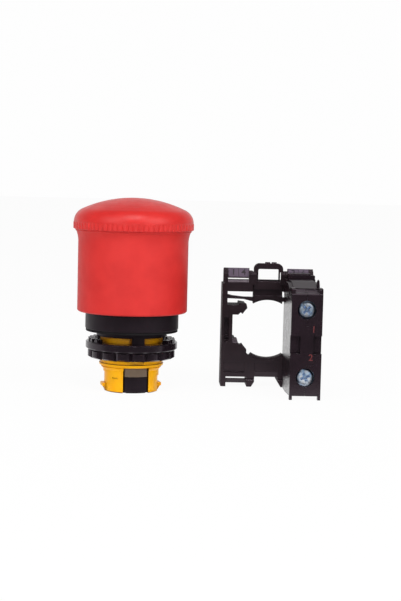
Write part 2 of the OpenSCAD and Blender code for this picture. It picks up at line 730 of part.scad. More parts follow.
// Outline of the block along its length, seen from the side
module block_outline() {
    low_half = neck_h - block_drop - 0.4;
    polygon([[block_back, face_z[0] + 0.9], [block_back, face_z[1] - 0.5], [block_back + 0.35, face_z[1]],
        [block_back + back_wall, face_z[1]], [block_back + 6.3, face_z[1] + 1], [block_back + 14, ramp_top],
        [carrier_y - 0.4, ramp_top], [carrier_y - 0.4, 17], [carrier_y, 17],
        [carrier_y, -14], [carrier_y - 2.4, -low_half], [block_back + 14, -low_half],
        [block_back + 6.3, face_z[0] - 0.3], [block_back + back_wall, face_z[0]],
        [block_back + 0.3, face_z[0]]]);
}

// Fence that stands beside the upper wire well, seen from the side
module fence_outline() {
    top = face_z[1] + fence_h;
    back = block_back + 0.2;
    round = 0.7;
    polygon(concat([[back, 14.5]], arc(back + round, top - round, round, 180, 90, 4),
        [[block_back + 5, top], [block_back + 7, face_z[1] + 0.8], [block_back + 7, 14.5]]));
}

// Space inside the block, seen from the side
module block_cavity() {
    back = block_back + back_wall;
    guide = 2.5 + run;
    difference() {
        rect([back, -8.2], [carrier_y - 1.3, 8.2]);
        for (side = [0, 1]) mirror([0, side]) rect([contact_y + 1.3, guide], [carrier_y, guide + 0.8]);
    }
    rect([back, -12.8], [strip_y + 8.4, 12.8]);
    rect([back, -14.8], [strip_y + strip_t + press, 14.8]);
}

// What is cut from both half shells: screw holes, wire wells, plunger hole and finger pockets
module block_cuts() {
    for (z = [-screw_off, screw_off]) translate([0, block_back - over, z]) rotate([-90, 0, 0])
        cylinder(r = screw_head_d / 2 + 0.2, h = back_wall + 2 * over);
    for (side = [0, 1]) mirror([0, 0, side]) along(-fence_x, fence_x)
        polygon([[block_back + 1.5, 14], [block_back + 1.5, 20], [block_back + 6.3, 20],
            [block_back + 6.3, 16.4], [block_back + 4.8, 14]]);
    for (side = [0, 1]) mirror([side, 0, 0]) along(fence_x, block_half + over)
        polygon([[block_back + 6.7, face_z[1] + 0.5], [block_back + 14, ramp_top - 0.6],
            [carrier_y - 3.5, ramp_top - 0.6], [carrier_y - 3.5, 25], [block_back + 6.7, 25]]);
    box([plunger_x[0] - run, carrier_y - 2, -2.5 - run], [plunger_x[1] + run, carrier_y + over, 2.5 + run]);
    for (x = [[-block_half - over, pocket_x[0]], [pocket_x[1], block_half + over]])
        box([x[0], block_back - over, pocket_z[0]], [x[1], block_back + pocket_y, pocket_z[1]]);
}

// Thickened wall behind the finger pockets, clear of the plunger's spring
module pocket_backs() {
    for (side = [0, 1]) mirror([side, 0, 0])
        box([1.75, block_back + 0.1, pocket_z[0] - 0.8],
            [block_half - 0.1, block_back + pocket_y + 0.8, pocket_z[1] + 0.8]);
}

// Snap fingers that hook over the carrier's bars, and the stepped horn above them
module block_hooks() {
    top = bar_top + block_drop;
    low = base_z + block_drop;
    rear = carrier_y - 3.8;
    front = carrier_y - 0.4;
    along(-3, 3) polygon([[carrier_y - 1.5, top + 0.1], [carrier_y + 5, top + 0.1],
        [carrier_y + 5, top - 0.9], [carrier_y + 5.6, top - 0.9], [carrier_y + 5.8, top + 0.5],
        [carrier_y - 1.5, top + 0.5]]);
    along(-3, 3) rect([carrier_y - 2, low - 0.5], [carrier_y + 3, low - 0.05]);
    along(-4, 3.2) polygon([[rear, ramp_top - 0.3], [rear, horn_top - 0.4], [rear + 0.5, horn_top],
        [front, horn_top], [front, ramp_top - 0.3]]);
    along(3.1, 4.7) rect([rear + 0.3, ramp_top - 0.3], [front, horn_top - 0.6]);
}

// Where the inner shell reaches over the parting line: the middle of the rear face, and the top
module parting_tongues(gap) {
    box([-0.5, block_back - over, tongue_z[0] - gap],
        [tongue_x + gap, block_back + back_wall + gap, tongue_z[1] + gap]);
    box([-0.5, block_back + 5 - gap, 16.2 - gap], [fence_x + gap, carrier_y + 7, 25]);
}

// One half shell of the block, on the side that dir points to
module half_shell(dir) {
    outer = dir * block_half;
    prong = dir * (block_half - 0.9);
    difference() {
        union() {
            along(min(outer, dir * parting), max(outer, dir * parting)) difference() {
                block_outline();
                block_cavity();
            }
            along(min(outer, dir * well_half), max(outer, dir * well_half)) block_outline();
            along(min(outer, dir * fence_x), max(outer, dir * fence_x)) fence_outline();
            intersection() {
                union() {
                    block_hooks();
                    pocket_backs();
                }
                box([min(outer, dir * parting), block_back, -20], [max(outer, dir * parting), 20, 25]);
            }
            box([min(outer, prong), block_back, -neck_h + block_drop],
                [max(outer, prong), block_back + 1.8, face_z[0] + 1.2]);
        }
        block_cuts();
        if (dir > 0) parting_tongues(parting);
    }
}

// Half shell on the side of the bore, with the tongues that reach over the parting line
module contact_housing() {
    color(black) on_block() {
        half_shell(-1);
        difference() {
            intersection() {
                parting_tongues(-parting);
                union() {
                    along(-0.5, block_half) difference() {
                        block_outline();
                        block_cavity();
                    }
                    block_hooks();
                }
            }
            block_cuts();
        }
    }
}

// Half shell on the outer side, with the small pointed release peg
module contact_cover() {
    peg_y = block_back + 9.4;
    peg_top = face_z[1] + 3.6;
    color(black) on_block() {
        half_shell(1);
        across(peg_y - 0.9, peg_y + 0.9) polygon([[fence_x + parting, ramp_top - 2.6],
            [fence_x + parting + 0.1, peg_top - 0.7], [block_half - 0.6, peg_top],
            [block_half - 0.3, peg_top - 0.4], [block_half - 0.05, ramp_top - 2.6]]);
    }
}

// Plunger that the operator's pusher moves, slotted for the bridge
module contact_plunger() {
    color(grey) on_block() difference() {
        union() {
            box([plunger_x[0], carrier_y - 4.1, -2.5], [plunger_x[1], carrier_y - 0.3, 2.5]);
            box([-1.4, plunger_end, -1.7], [1.4, carrier_y - 4, 1.7]);
        }
        box([-0.95, slot_end, -over - 1.7], [0.95, bridge_y + 0.05, over + 1.7]);
    }
}

// Bridge that joins the two fixed contacts
module contact_bridge() {
    color(brass) on_block() difference() {
        box([-0.9, bridge_y - bridge_t, -contact_z - 1.2], [0.9, bridge_y, contact_z + 1.2]);
        for (z = [-contact_z, contact_z]) translate([0, bridge_y - bridge_t - over, z])
            rotate([-90, 0, 0]) cylinder(r = 0.5, h = bridge_t + 2 * over);
    }
}

// Contact rivet on one end of the bridge
module moving_contact(z) {
    translate([0, bridge_y - bridge_t - 0.2, z]) rotate([-90, 0, 0]) {
        cylinder(r = 0.48, h = bridge_t + 0.3);
        translate([0, 0, bridge_t + 0.2]) cylinder(r = 1.2, h = rivet_t);
    }
}

module moving_contact_upper() {
    color(silver) on_block() moving_contact(contact_z);
}

module moving_contact_lower() {
    color(silver) on_block() moving_contact(-contact_z);
}

// Spring that presses the bridge onto the fixed contacts
module bridge_spring() {
    color(steel) on_block() translate([0, bridge_y - bridge_t - 0.01, 0])
        rotate([90, 0, 0]) coil(1.3, 0.3, bridge_y - bridge_t - slot_end - 0.02, 5, 14, 6);
}

// Spring that returns the plunger
module plunger_spring() {
    color(steel) on_block() translate([0, plunger_end - 0.01, 0]) rotate([90, 0, 0])
        coil(2.6, 0.4, plunger_end - block_back - back_wall - 0.02, 6, 16, 6);
}

// Fixed contact strip from the terminal to its silver rivet, for the upper or lower pole
module fixed_contact() {
    reach = screw_off - 3.6;
    wide = well_half - press;
    difference() {
        union() {
            box([-wide, strip_y, reach], [wide, strip_y + strip_t, screw_off + 3.6]);
            box([-2.2, strip_y, reach], [2.2, contact_y + 1, reach + 1]);
            box([-2.2, contact_y, contact_z - 1.2], [2.2, contact_y + 1, reach + 1]);
        }
        translate([0, strip_y - over, screw_off]) rotate([-90, 0, 0])
            cylinder(d = screw_thread_d + 2 * run, h = 4);
    }
    translate([0, contact_y - 0.6, contact_z]) rotate([-90, 0, 0]) cylinder(r = 1.2, h = 0.7);
}

module fixed_contact_upper() {
    color(brass) on_block() fixed_contact();
}

module fixed_contact_lower() {
    color(brass) on_block() mirror([0, 0, 1]) fixed_contact();
}

// Square clamp plate carried under the screw's head
module clamp_plate() {
    difference() {
        box([-3.6, clamp_y, screw_off - 3.6], [3.6, clamp_y + 1.1, screw_off + 3.6]);
        translate([0, clamp_y - over, screw_off]) rotate([-90, 0, 0])
            cylinder(d = screw_thread_d + 2 * run, h = 4);
    }
}

module upper_clamp_plate() {
    color(zinc) on_block() clamp_plate();
}

module lower_clamp_plate() {
    color(zinc) on_block() mirror([0, 0, 1]) clamp_plate();
}

// Pan-head terminal screw with a slot right across and a tapered cross in the middle
module terminal_screw(turn) {
    head_y = block_back + 0.8;
    head_r = screw_head_d / 2;
    head_h = 2.1;
    slot_w = 0.95;
    cross_w = 0.85;
    cross_r = 1.55;
    color(zinc) translate([0, head_y, screw_off]) rotate([-90, 0, 0]) difference() {
        union() {
            rotate_extrude() polygon([[0, 0], [head_r - 1, 0.03], [head_r - 0.4, 0.3], [head_r, 0.85],
                [head_r, head_h], [0, head_h]]);
            cylinder(d = screw_thread_d, h = 11);
        }
        rotate(turn) {
            translate([-head_r - over, -slot_w / 2, -over]) cube([2 * (head_r + over), slot_w, over + 0.6]);
            for (a = [0, 90]) rotate([90, 0, a]) translate([0, 0, -cross_w / 2]) linear_extrude(cross_w)
                polygon([[-cross_r, -over], [cross_r, -over], [cross_r, 0.4], [0.4, 1.75], [-0.4, 1.75],
                    [-cross_r, 0.4]]);
        }
    }
}

module upper_terminal_screw() {
    on_block() terminal_screw(upper_turn);
}

module lower_terminal_screw() {
    on_block() translate([0, 0, -screw_pitch]) terminal_screw(lower_turn);
}

mushroom_cap();
head_skirt();
head_stem();
retaining_clip();
pusher();
bezel_ring();
bezel_gasket();
stem_seal();
neck_sleeve();
guide_liner();
return_spring();
latch_spring();
clamp_washer();
ring_nut();
carrier_frame();
release_latch();
latch_arm_left();
latch_arm_right();
contact_housing();
contact_cover();
contact_plunger();
contact_bridge();
moving_contact_upper();
moving_contact_lower();
bridge_spring();
plunger_spring();
fixed_contact_upper();
fixed_contact_lower();
upper_clamp_plate();
lower_clamp_plate();
upper_terminal_screw();
lower_terminal_screw();
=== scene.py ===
import json
import math

import bmesh
import bpy
from mathutils import Matrix, Vector

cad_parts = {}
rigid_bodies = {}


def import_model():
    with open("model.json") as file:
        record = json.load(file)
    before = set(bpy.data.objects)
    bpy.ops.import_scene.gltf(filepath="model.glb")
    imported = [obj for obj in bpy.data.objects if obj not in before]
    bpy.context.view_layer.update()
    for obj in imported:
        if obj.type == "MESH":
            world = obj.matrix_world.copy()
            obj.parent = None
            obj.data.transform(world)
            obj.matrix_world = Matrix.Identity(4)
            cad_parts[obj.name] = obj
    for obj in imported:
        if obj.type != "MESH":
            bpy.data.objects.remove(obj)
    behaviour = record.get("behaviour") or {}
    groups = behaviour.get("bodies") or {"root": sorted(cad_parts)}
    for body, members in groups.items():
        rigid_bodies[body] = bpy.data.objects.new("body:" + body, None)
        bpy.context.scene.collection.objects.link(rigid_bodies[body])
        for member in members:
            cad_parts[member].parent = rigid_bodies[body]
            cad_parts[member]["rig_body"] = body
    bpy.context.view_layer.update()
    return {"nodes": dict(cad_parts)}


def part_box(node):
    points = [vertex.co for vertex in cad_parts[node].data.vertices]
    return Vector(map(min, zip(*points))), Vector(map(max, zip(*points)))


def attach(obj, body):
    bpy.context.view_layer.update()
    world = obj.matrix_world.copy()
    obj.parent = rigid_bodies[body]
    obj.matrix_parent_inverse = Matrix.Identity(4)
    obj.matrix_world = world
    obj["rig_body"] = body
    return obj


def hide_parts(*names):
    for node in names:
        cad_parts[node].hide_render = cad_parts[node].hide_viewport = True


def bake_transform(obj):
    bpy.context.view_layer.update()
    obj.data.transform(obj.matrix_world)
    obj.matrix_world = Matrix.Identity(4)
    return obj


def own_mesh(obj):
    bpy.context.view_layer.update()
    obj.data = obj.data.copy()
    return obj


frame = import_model()
MM = 0.001

# Places in millimetres, as in the part's source: the carrier, the block and its terminal face
CARRIER = Vector((44.0, 10.5, 0.0))
BLOCK = Vector((54.0, 0.0, -1.5))
TERMINAL_FACE_Y = -15.3

# The bench just under the neck, and half the side of the floor, in millimetres
FLOOR_Z = -19.03
FLOOR_HALF = 3000.0

# The camera fitted to the photograph: angles in radians, focal length in pixels, place in mm
PITCH, YAW, ROLL = 0.090, 0.037, -0.024
FOCAL_PX = 1427.295
CAMERA_PLACE = Vector((4.92, -451.0, 50.66))
IMAGE_HEIGHT_PX = 601.0
SENSOR_HEIGHT = 36.0

# A latch arm, in millimetres from the carrier's middle: where the cuts across it start, the step
#  between them, and how many there are
ARM_CUT_START, ARM_CUT_STEP, ARM_CUTS = 4.9, 0.7, 11

# The label tabs, in millimetres: slope as rise and run, height of the foot, distance from middle
TAB_RISE, TAB_RUN = 3.05, 2.4
TAB_FOOT_Z = 16.7
TAB_MIDDLE = 9.75
LABEL_LIFT, PRINT_LIFT = 0.06, 0.13

# Figures: their height as a share of the font's size, half thickness and added weight in mm
FIGURE_SHARE = 0.7
FIGURE_DEPTH = 0.012
FIGURE_WEIGHT = 0.015

# A Mix node's sockets for numbers and for colours: first input, second input, result
MIX_NUMBER = (2, 3, 0)
MIX_COLOUR = (6, 7, 2)

# Scales of the noise in the plastics and in the metals, per metre
TINT_SCALE, GLOSS_SCALE, SIDE_SCALE, WAVE_SCALE = 160, 420, 2600, 110
METAL_TINT_SCALE, METAL_GLOSS_SCALE = 600, 1500
METAL_EDGE = 0.08

# What reflections see of the white studio, from its front to its back
DIMMEST, BRIGHTEST = 0.12, 0.98

BLACK = dict(low=(0.0075, 0.0045, 0.0065), high=(0.0115, 0.0070, 0.0100))
BLACK_SHINE = (1.0, 0.84, 0.97, 1.0)

PLASTICS = {
    "cap_red": dict(
        low=(0.59, 0.016, 0.014), high=(0.66, 0.021, 0.018),
        rough=0.40, grain=5200, depth=0.012, spec=0.42, waves=0.003),
    "skirt_red": dict(
        low=(0.58, 0.016, 0.0135), high=(0.64, 0.0215, 0.018),
        rough=0.52, grain=3800, depth=0.018, edge=0.35, spec=0.35),
    "black": dict(
        **BLACK, rough=0.40, grain=4200, depth=0.012, spec=0.4, shine=BLACK_SHINE),
    "black_frame": dict(
        low=(0.0130, 0.0074, 0.0090), high=(0.0190, 0.0108, 0.0132),
        rough=0.34, grain=2600, depth=0.025, spec=0.42, shine=BLACK_SHINE, edgeways=0.68),
    "black_deep": dict(
        **BLACK, rough=0.50, grain=4200, depth=0.012, spec=0.18, shine=BLACK_SHINE),
    "black_bezel": dict(
        **BLACK, rough=0.46, grain=4200, depth=0.012, spec=0.25, shine=BLACK_SHINE),
    "black_gloss": dict(
        **BLACK, rough=0.20, grain=5200, depth=0.004, spec=0.45, shine=BLACK_SHINE),
    # black_block: painted shade darkens its pockets and recesses within 3 mm
    "black_block": dict(
        low=(0.0105, 0.0060, 0.0085), high=(0.0150, 0.0085, 0.0120),
        rough=0.16, grain=1500, depth=0.045, spec=0.45, shine=BLACK_SHINE,
        painted_shade=3.0, sides=0.13, level=0.45),
    # yellow: painted shade, warm brown, darkens the thread between bezel and washer and other
    # recesses within 4 mm
    "yellow": dict(
        low=(0.96, 0.440, 0.002), high=(1.00, 0.500, 0.004),
        rough=0.34, grain=4200, depth=0.008, spec=0.18, painted_shade=4.0, floor=(0.20, 0.13, 0.40)),
    "grey": dict(
        low=(0.135, 0.095, 0.062), high=(0.160, 0.113, 0.076),
        rough=0.55, grain=4200, depth=0.015),
    "rubber": dict(
        low=(0.006, 0.005, 0.006), high=(0.009, 0.008, 0.009),
        rough=0.75, grain=3200, depth=0.03, edge=0.05, spec=0.2),
    "label": dict(
        low=(0.086, 0.062, 0.094), high=(0.104, 0.075, 0.114),
        rough=0.50, grain=3200, depth=0.01, edge=0.05, spec=0.35),
    "ink_dark": dict(
        low=(0.010, 0.006, 0.010), high=(0.014, 0.009, 0.014),
        rough=0.5, grain=5200, depth=0.004, edge=0.02),
    "ink_red": dict(
        low=(0.115, 0.012, 0.014), high=(0.155, 0.017, 0.019),
        rough=0.5, grain=5200, depth=0.004, edge=0.02),
}

METALS = {
    # zinc: painted shade, dark blue, darkens the screws' cross recesses and slots within 0.9 mm
    "zinc": dict(
        low=(0.45, 0.70, 1.00), high=(1.00, 1.00, 1.00),
        rough=0.43, grain=1000, depth=0.14, painted_shade=0.9, floor=(0.05, 0.14, 0.34)),
    "spring": dict(
        low=(0.50, 0.50, 0.52), high=(0.62, 0.62, 0.64), rough=0.28, stretch=(1, 1, 6)),
    "brass": dict(
        low=(0.62, 0.44, 0.18), high=(0.72, 0.53, 0.24), rough=0.35),
    "silver": dict(
        low=(0.80, 0.79, 0.76), high=(0.88, 0.87, 0.85), rough=0.25),
}

# The finish of every node of the frame
USE = {
    "mushroom_cap": "cap_red",
    "head_skirt": "skirt_red",
    "head_stem": "black",
    "retaining_clip": "spring",
    "pusher": "black_deep",
    "bezel_ring": "black_bezel",
    "bezel_gasket": "rubber",
    "stem_seal": "rubber",
    "neck_sleeve": "yellow",
    "guide_liner": "grey",
    "return_spring": "spring",
    "latch_spring": "spring",
    "clamp_washer": "black_gloss",
    "ring_nut": "black_gloss",
    "carrier_frame": "black_frame",
    "release_latch": "black_frame",
    "latch_arm_left": "black_frame",
    "latch_arm_right": "black_frame",
    "contact_housing": "black_block",
    "contact_cover": "black_block",
    "contact_plunger": "grey",
    "contact_bridge": "brass",
    "moving_contact_upper": "silver",
    "moving_contact_lower": "silver",
    "bridge_spring": "spring",
    "plunger_spring": "spring",
    "fixed_contact_upper": "brass",
    "fixed_contact_lower": "brass",
    "upper_clamp_plate": "zinc",
    "lower_clamp_plate": "zinc",
    "upper_terminal_screw": "zinc",
    "lower_terminal_screw": "zinc",
}


def camera():
    """The photograph's view."""
    fwd = Vector((math.sin(YAW) * math.cos(PITCH), math.cos(YAW) * math.cos(PITCH),
                  -math.sin(PITCH)))
    level_right = Vector((math.cos(YAW), -math.sin(YAW), 0.0))
    level_down = fwd.cross(level_right)
    right = level_right * math.cos(ROLL) + level_down * math.sin(ROLL)
    down = level_down * math.cos(ROLL) - level_right * math.sin(ROLL)
    data = bpy.data.cameras.new("camera")
    data.sensor_fit = "VERTICAL"
    data.sensor_height = SENSOR_HEIGHT
    data.lens = FOCAL_PX * SENSOR_HEIGHT / IMAGE_HEIGHT_PX
    data.clip_start, data.clip_end = 0.01, 20.0
    cam = bpy.data.objects.new("camera", data)
    pose = Matrix((right, -down, -fwd)).transposed().to_4x4()
    pose.translation = CAMERA_PLACE * MM
    cam.matrix_world = pose
    bpy.context.collection.objects.link(cam)
    bpy.context.scene.camera = cam


class Mat:
    """One procedural material under construction."""

    def __init__(self, name):
        self.mat = bpy.data.materials.new(name)
        self.mat.use_nodes = True
        self.tree = self.mat.node_tree
        self.tree.nodes.clear()
        self.out = self.add("ShaderNodeOutputMaterial")
        self.shader = self.add("ShaderNodeBsdfPrincipled")
        self.link(self.shader, 0, self.out, 0)
        self.coord = self.add("ShaderNodeTexCoord")

    def add(self, kind, **values):
        node = self.tree.nodes.new(kind)
        for name, value in values.items():
            setattr(node, name, value)
        return node

    def link(self, source, output, target, socket):
        self.tree.links.new(source.outputs[output], target.inputs[socket])

    def set(self, **values):
        """Numbers and colours of the shader's own sockets, with _ for a space in their names."""
        for name, value in values.items():
            self.shader.inputs[name.replace("_", " ")].default_value = value

    def noise(self, scale, detail=2.0, rough=0.5, stretch=None):
        node = self.add("ShaderNodeTexNoise")
        node.inputs["Scale"].default_value = scale
        node.inputs["Detail"].default_value = detail
        node.inputs["Roughness"].default_value = rough
        if stretch is None:
            self.link(self.coord, "Object", node, "Vector")
            return node
        mapping = self.add("ShaderNodeMapping")
        mapping.inputs["Scale"].default_value = stretch
        self.link(self.coord, "Object", mapping, "Vector")
        self.link(mapping, "Vector", node, "Vector")
        return node

    def ramp(self, source, stops, output="Fac"):
        """A colour ramp with a colour at each position of stops."""
        node = self.add("ShaderNodeValToRGB")
        elements = node.color_ramp.elements
        while len(elements) < len(stops):
            elements.new(0.5)
        for element, (position, colour) in zip(elements, stops):
            element.position = position
            element.color = (*colour, 1.0)
        self.link(source, output, node, "Fac")
        return node

    def grey(self, source, stops, output="Fac"):
        """A colour ramp with a grey at each position of stops."""
        return self.ramp(source, [(position, (v, v, v)) for position, v in stops], output)

    def bump(self, source, strength, distance, normal):
        node = self.add("ShaderNodeBump")
        node.inputs["Strength"].default_value = strength
        node.inputs["Distance"].default_value = distance
        self.link(source, "Fac", node, "Height")
        self.link(normal, 0, node, "Normal")
        return node

    def edges(self, radius):
        """Normals that round the edges off."""
        node = self.add("ShaderNodeBevel", samples=6)
        node.inputs["Radius"].default_value = radius
        return node


def paint_recess_shade(m, tint, reach, floor, end):
    """Painted shade: the tint, darkened by ambient occlusion down to the floor colour where the
    surface lies deep between others. End is the openness from which the tint is full."""
    deep = m.add("ShaderNodeAmbientOcclusion", samples=8)
    deep.inputs["Distance"].default_value = reach * MM
    share = m.ramp(deep, [(0.25, floor), (end, (1, 1, 1))], "AO")
    mix = m.add("ShaderNodeMix", data_type="RGBA", blend_type="MULTIPLY")
    mix.inputs["Factor"].default_value = 1.0
    first, second, result = MIX_COLOUR
    m.link(tint, "Color", mix, first)
    m.link(share, "Color", mix, second)
    m.link(mix, result, m.shader, "Base Color")


def facing(m, axis, off, on, start=0.55):
    """A mask that goes from off on faces across the axis to on where they look along it. Start is
    the cosine at which it begins to change."""
    way = m.add("ShaderNodeNewGeometry")
    size = m.add("ShaderNodeVectorMath", operation="ABSOLUTE")
    split = m.add("ShaderNodeSeparateXYZ")
    m.link(way, "True Normal", size, 0)
    m.link(size, 0, split, 0)
    return m.grey(split, [(start, off), (start + 0.3, on)], axis)


def roughness(m, source, low, high, elsewhere=None, mask=None):
    """Roughness that drifts between low and high, and is elsewhere where the mask is 1."""
    drift = m.grey(source, [(0.3, low), (0.7, high)])
    if mask is None:
        m.link(drift, "Color", m.shader, "Roughness")
        return
    mix = m.add("ShaderNodeMix", data_type="FLOAT")
    first, second, result = MIX_NUMBER
    m.link(mask, "Color", mix, "Factor")
    m.link(drift, "Color", mix, first)
    mix.inputs[second].default_value = elsewhere
    m.link(mix, result, m.shader, "Roughness")


def moulded(name, low, high, rough, grain, depth, edge=0.12, spec=0.5, shine=(1, 1, 1, 1),
            waves=0.0, painted_shade=0.0, floor=(0.34, 0.34, 0.34), sides=0.0, level=None, edgeways=None):
    """Moulded plastic: colour that drifts a little, fine grain, faint flow waves, softened edges,
    and painted shade that darkens the colour in recesses down to floor, within its reach. The
    sides, which look along X, may have a coarser grain. The faces that look along Z may have the
    roughness level, or all that look across Y the roughness edgeways. Depth, edge, waves, the
    painted shade's reach and sides are in millimetres."""
    m = Mat(name)
    tint = m.ramp(m.noise(TINT_SCALE, 3), [(0.35, low), (0.65, high)])
    if painted_shade:
        # painted shade: the colour darkens in recesses by ambient occlusion
        paint_recess_shade(m, tint, painted_shade, floor, end=0.60)
    else:
        m.link(tint, "Color", m.shader, "Base Color")
    mask = None
    if level is not None:
        mask = facing(m, "Z", 0.0, 1.0, start=0.2)
    elif edgeways is not None:
        mask = facing(m, "Y", 1.0, 0.0)
    roughness(m, m.noise(GLOSS_SCALE, 4, 0.6), rough - 0.05, rough + 0.05, edgeways or level, mask)
    normal = m.edges(edge * MM)
    if sides:
        normal = m.bump(m.noise(SIDE_SCALE), 0.6, sides * MM, normal)
        m.link(facing(m, "X", 0.0, 0.6), "Color", normal, "Strength")
    if waves:
        normal = m.bump(m.noise(WAVE_SCALE, rough=0.4), 0.5, waves * MM, normal)
    normal = m.bump(m.noise(grain, rough=0.55), 0.4, depth * MM, normal)
    m.link(normal, 0, m.shader, "Normal")
    m.set(Specular_IOR_Level=spec, Specular_Tint=shine)
    return m.mat


def metal(name, low, high, rough, grain=900, depth=0.01, stretch=None, painted_shade=0.0, floor=None):
    """Plated or drawn metal with a cloudy tint and fine marks, and painted shade that darkens
    recesses to the colour floor within its reach. Depth and the painted shade's reach are in
    millimetres."""
    m = Mat(name)
    tint = m.ramp(m.noise(METAL_TINT_SCALE, 4, 0.6, stretch), [(0.3, low), (0.7, high)])
    if painted_shade:
        # painted shade: the colour darkens in recesses by ambient occlusion
        paint_recess_shade(m, tint, painted_shade, floor, end=0.74)
    else:
        m.link(tint, "Color", m.shader, "Base Color")
    roughness(m, m.noise(METAL_GLOSS_SCALE, 3, 0.6, stretch), rough - 0.07, rough + 0.08)
    normal = m.bump(m.noise(grain, 3, 0.6, stretch), 0.3, depth * MM, m.edges(METAL_EDGE * MM))
    m.link(normal, 0, m.shader, "Normal")
    m.set(Metallic=1.0)
    return m.mat


def materials():
    mats = {name: moulded(name, **values) for name, values in PLASTICS.items()}
    mats.update({name: metal(name, **values) for name, values in METALS.items()})
    return mats


def finish_nodes(mats):
    """The materials of the frame's own nodes."""
    for node, key in USE.items():
        data = bpy.data.objects[node].data
        if not data.materials:
            data.materials.append(mats[key])
        for i in range(len(data.materials)):
            data.materials[i] = mats[key]


def new_object(name, mesh, mat):
    ob = bpy.data.objects.new(name, mesh)
    bpy.context.collection.objects.link(ob)
    mesh.materials.clear()
    mesh.materials.append(mat)
    return ob


def piece(name, mesh, mat, body, smooth=True):
    """A new piece from a mesh in the shared frame, riding on a body."""
    ob = new_object(name, mesh, mat)
    if smooth:
        mesh.shade_smooth()
    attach(ob, body)
    return ob


def coil_mesh(name, place, axis, mean_d, wire, length, turns, steps=36, sides=12):
    """A compression spring with closed, flat-lying end turns, from place along axis, in mm."""
    to_axis = Vector((0, 0, 1)).rotation_difference(Vector(axis)).to_matrix()
    count = round(turns * steps)
    verts = []
    for i in range(count + 1):
        turn = turns * i / count
        around = math.tau * turn
        if turn < 1:
            rise = wire * turn
        elif turn > turns - 1:
            rise = length - wire - wire * (turns - turn)
        else:
            rise = wire + (length - 3 * wire) * (turn - 1) / (turns - 2)
        for j in range(sides):
            b = math.tau * j / sides
            r = mean_d / 2 + wire / 2 * math.cos(b)
            point = Vector((r * math.cos(around), r * math.sin(around),
                            wire / 2 + rise + wire / 2 * math.sin(b)))
            verts.append(tuple((to_axis @ point + Vector(place)) * MM))
    faces = []
    for i in range(count):
        for j in range(sides):
            k = (j + 1) % sides
            faces.append((i * sides + j, (i + 1) * sides + j, (i + 1) * sides + k, i * sides + k))
    faces.append(tuple(range(sides)))
    faces.append(tuple(count * sides + j for j in reversed(range(sides))))
    mesh = bpy.data.meshes.new(name)
    mesh.from_pydata(verts, [], faces)
    bm = bmesh.new()
    bm.from_mesh(mesh)
    bmesh.ops.recalc_face_normals(bm, faces=bm.faces)
    bm.to_mesh(mesh)
    bm.free()
    return mesh


def box_mm(node):
    return (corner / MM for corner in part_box(node))


def node_body(node):
    return frame["nodes"][node]["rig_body"]


def springs(mats):
    """Finer springs in place of the faceted ones; the return and plunger coils each get a mesh
    copy of their own.
    """
    lo, hi = box_mm("return_spring")
    length = hi.z - lo.z
    mesh = coil_mesh("return_coil", (0, 0, lo.z), (0, 0, 1), mean_d=19, wire=0.9, length=length,
                     turns=6.5)
    ob = piece("return_coil", mesh, mats["spring"], node_body("return_spring"))
    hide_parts("return_spring")
    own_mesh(ob)

    lo, hi = box_mm("plunger_spring")
    length = hi.y - lo.y
    mid = (lo + hi) / 2
    mesh = coil_mesh("plunger_coil", (mid.x, lo.y, mid.z), (0, 1, 0), mean_d=2.6, wire=0.4,
                     length=length, turns=6)
    ob = piece("plunger_coil", mesh, mats["spring"], node_body("plunger_spring"))
    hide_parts("plunger_spring")
    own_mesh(ob)

    lo, hi = box_mm("bridge_spring")
    mid = (lo + hi) / 2
    mesh = coil_mesh("bridge_coil", (mid.x, lo.y, mid.z), (0, 1, 0), mean_d=1.3, wire=0.3,
                     length=hi.y - lo.y, turns=5)
    ob = piece("bridge_coil", mesh, mats["spring"], node_body("bridge_spring"))
    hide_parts("bridge_spring")


def flex_arms(mats):
    """The latch's springy arms, copied with cuts across them, in place of the nodes' own."""
    for side, node in ((-1, "latch_arm_left"), (1, "latch_arm_right")):
        mesh = frame["nodes"][node].data.copy()
        mesh.name = node.replace("latch", "flex")
        bm = bmesh.new()
        bm.from_mesh(mesh)
        bmesh.ops.remove_doubles(bm, verts=bm.verts, dist=1e-6)
        for i in range(1, ARM_CUTS + 1):
            x = (CARRIER.x + side * (ARM_CUT_START + ARM_CUT_STEP * i)) * MM
            bmesh.ops.bisect_plane(bm, geom=bm.verts[:] + bm.edges[:] + bm.faces[:], dist=1e-7,
                                   plane_co=(x, 0, 0), plane_no=(1, 0, 0))
        bm.to_mesh(mesh)
        bm.free()
        ob = new_object(mesh.name, mesh, mats["black_frame"])
        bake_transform(ob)
        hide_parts(node)


def digits(name, text, height, place, tilt, mat, body):
    """Plain raised figures, height in millimetres, standing at place and tilted about X."""
    data = bpy.data.curves.new(name, "FONT")
    data.body = text
    data.size = height / FIGURE_SHARE * MM
    data.align_x = "CENTER"
    data.align_y = "CENTER"
    data.extrude = FIGURE_DEPTH * MM
    data.offset = FIGURE_WEIGHT * MM
    data.resolution_u = 6
    ob = bpy.data.objects.new(name + "_curve", data)
    bpy.context.collection.objects.link(ob)
    ob.location = Vector(place) * MM
    ob.rotation_euler.x = tilt
    bpy.context.view_layer.update()
    graph = bpy.context.evaluated_depsgraph_get()
    mesh = bpy.data.meshes.new_from_object(ob.evaluated_get(graph))
    mesh.transform(ob.matrix_world)
    mesh.name = name
    bpy.data.objects.remove(ob)
    return piece(name, mesh, mat, body, smooth=False)


